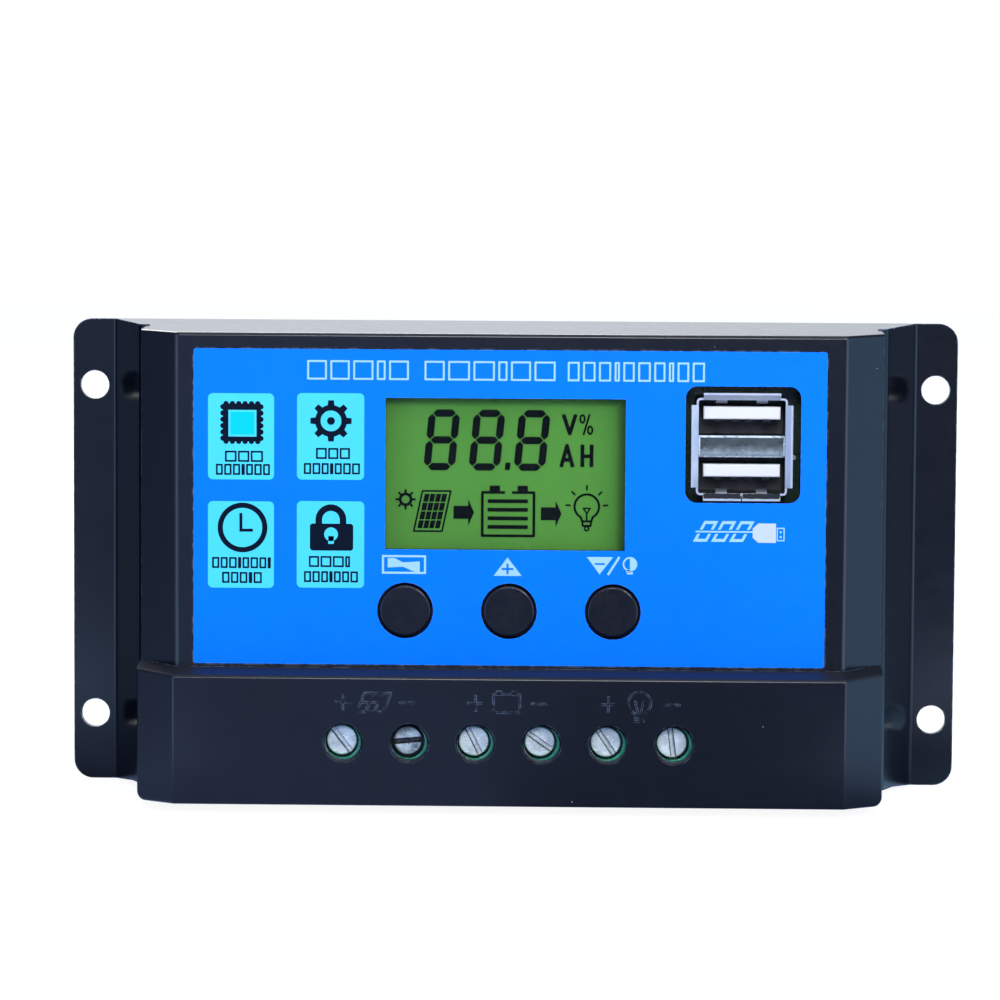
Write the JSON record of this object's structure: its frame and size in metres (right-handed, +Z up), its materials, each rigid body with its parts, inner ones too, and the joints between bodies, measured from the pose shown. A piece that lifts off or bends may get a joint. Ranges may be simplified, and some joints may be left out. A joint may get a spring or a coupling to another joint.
{
  "type": "solar charge controller",
  "caption": "Wall-mounting solar charge controller: folded chassis with ears, black moulded cover, blue label, display, push buttons, USB sockets and screw terminals.",
  "frame": {"origin": "centre of the mounting holes on the back plane", "axes": "+X to the right seen from the front, +Y towards the wall, +Z up; the front faces -Y"},
  "size_m": [0.1334, 0.0352, 0.07],
  "materials": {
    "chassis_coating": "black semi-gloss powder coat on folded sheet",
    "cover_plastic": "black moulded plastic, fine satin",
    "label_film": "blue printed film, glossy",
    "clear_window": "clear acrylic",
    "lcd_glass": "clear glass with polarising film",
    "lcd_reflector": "yellow-green rear polariser",
    "light_guide": "milky white",
    "lcd_ink": "black",
    "tinned_metal": "tin plated",
    "board_laminate": "green solder mask",
    "brass": "turned",
    "zinc_screw": "zinc plated",
    "black_screw": "black zinc",
    "chip_resin": "moulded resin",
    "silicone_pad": "soft grey",
    "button_plastic": "black moulded plastic",
    "switch_plastic": "black moulded plastic",
    "terminal_green": "green moulded polyamide",
    "usb_plating": "nickel plated sheet",
    "usb_white": "white moulded plastic",
    "gold_contact": "gold flashed",
    "capacitor_sleeve": "printed sleeve",
    "ferrite": "ferrite grey"
  },
  "bodies": {
    "case": {"chassis": "chassis_coating", "front_cover": "cover_plastic", "face_label": "label_film", "display_window": "clear_window", "lcd_front_glass": "lcd_glass", "lcd_rear_glass": "lcd_reflector", "lcd_backlight": "light_guide", "lcd_segments": "lcd_ink", "lcd_pins": "tinned_metal", "main_board": "board_laminate", "board_standoffs": "brass", "board_screws": "zinc_screw", "case_screws": "black_screw", "power_transistors": "chip_resin", "thermal_pad": "silicone_pad", "switch_body_menu": "switch_plastic", "switch_body_up": "switch_plastic", "switch_body_down": "switch_plastic", "terminal_housing_solar": "terminal_green", "terminal_housing_battery": "terminal_green", "terminal_housing_load": "terminal_green", "current_bar_1": "tinned_metal", "current_bar_2": "tinned_metal", "current_bar_3": "tinned_metal", "current_bar_4": "tinned_metal", "current_bar_5": "tinned_metal", "current_bar_6": "tinned_metal", "usb_shell": "usb_plating", "usb_divider": "usb_plating", "usb_insulator": "usb_white", "usb_contacts": "gold_contact", "microcontroller": "chip_resin", "usb_regulator": "chip_resin", "capacitor_lying": "capacitor_sleeve", "capacitor_standing": "capacitor_sleeve", "inductor": "ferrite", "diode": "chip_resin", "current_shunt": "brass"},
    "button_menu": {"button_cap_menu": "button_plastic", "switch_plunger_menu": "switch_plastic"},
    "button_up": {"button_cap_up": "button_plastic", "switch_plunger_up": "switch_plastic"},
    "button_down": {"button_cap_down": "button_plastic", "switch_plunger_down": "switch_plastic"},
    "screw_1": {"terminal_screw_1": "zinc_screw"},
    "cage_1": {"clamp_cage_1": "tinned_metal"},
    "screw_2": {"terminal_screw_2": "zinc_screw"},
    "cage_2": {"clamp_cage_2": "tinned_metal"},
    "screw_3": {"terminal_screw_3": "zinc_screw"},
    "cage_3": {"clamp_cage_3": "tinned_metal"},
    "screw_4": {"terminal_screw_4": "zinc_screw"},
    "cage_4": {"clamp_cage_4": "tinned_metal"},
    "screw_5": {"terminal_screw_5": "zinc_screw"},
    "cage_5": {"clamp_cage_5": "tinned_metal"},
    "screw_6": {"terminal_screw_6": "zinc_screw"},
    "cage_6": {"clamp_cage_6": "tinned_metal"}
  },
  "joints": [
    {"name": "press_menu", "type": "slide", "parent": "case", "child": "button_menu", "axis": [0, 1, 0], "range_m": [0, 0.0003], "stiffness_N_per_m": 5000, "springref_m": -0.0001},
    {"name": "press_up", "type": "slide", "parent": "case", "child": "button_up", "axis": [0, 1, 0], "range_m": [0, 0.0003], "stiffness_N_per_m": 5000, "springref_m": -0.0001},
    {"name": "press_down", "type": "slide", "parent": "case", "child": "button_down", "axis": [0, 1, 0], "range_m": [0, 0.0003], "stiffness_N_per_m": 5000, "springref_m": -0.0001},
    {"name": "lift_cage_1", "type": "slide", "parent": "case", "child": "cage_1", "axis": [0, -1, 0], "range_m": [0, 0.0033]},
    {"name": "turn_screw_1", "type": "hinge", "parent": "case", "child": "screw_1", "pos_m": [-0.02405, -0.03095, -0.0246], "axis": [0, 1, 0], "range_deg": [0, 2376.5]},
    {"name": "lift_cage_2", "type": "slide", "parent": "case", "child": "cage_2", "axis": [0, -1, 0], "range_m": [0, 0.0033]},
    {"name": "turn_screw_2", "type": "hinge", "parent": "case", "child": "screw_2", "pos_m": [-0.01455, -0.03095, -0.0246], "axis": [0, 1, 0], "range_deg": [0, 2376.5]},
    {"name": "lift_cage_3", "type": "slide", "parent": "case", "child": "cage_3", "axis": [0, -1, 0], "range_m": [0, 0.0033]},
    {"name": "turn_screw_3", "type": "hinge", "parent": "case", "child": "screw_3", "pos_m": [-0.00505, -0.03095, -0.0246], "axis": [0, 1, 0], "range_deg": [0, 2376.5]},
    {"name": "lift_cage_4", "type": "slide", "parent": "case", "child": "cage_4", "axis": [0, -1, 0], "range_m": [0, 0.0033]},
    {"name": "turn_screw_4", "type": "hinge", "parent": "case", "child": "screw_4", "pos_m": [0.00445, -0.03095, -0.0246], "axis": [0, 1, 0], "range_deg": [0, 2376.5]},
    {"name": "lift_cage_5", "type": "slide", "parent": "case", "child": "cage_5", "axis": [0, -1, 0], "range_m": [0, 0.0033]},
    {"name": "turn_screw_5", "type": "hinge", "parent": "case", "child": "screw_5", "pos_m": [0.01395, -0.03095, -0.0246], "axis": [0, 1, 0], "range_deg": [0, 2376.5]},
    {"name": "lift_cage_6", "type": "slide", "parent": "case", "child": "cage_6", "axis": [0, -1, 0], "range_m": [0, 0.0033]},
    {"name": "turn_screw_6", "type": "hinge", "parent": "case", "child": "screw_6", "pos_m": [0.02345, -0.03095, -0.0246], "axis": [0, 1, 0], "range_deg": [0, 2376.5]}
  ],
  "couplings": [
    {"joint": "turn_screw_1", "follows": "lift_cage_1", "rad_per_m": 12566},
    {"joint": "turn_screw_2", "follows": "lift_cage_2", "rad_per_m": 12566},
    {"joint": "turn_screw_3", "follows": "lift_cage_3", "rad_per_m": 12566},
    {"joint": "turn_screw_4", "follows": "lift_cage_4", "rad_per_m": 12566},
    {"joint": "turn_screw_5", "follows": "lift_cage_5", "rad_per_m": 12566},
    {"joint": "turn_screw_6", "follows": "lift_cage_6", "rad_per_m": 12566}
  ]
}
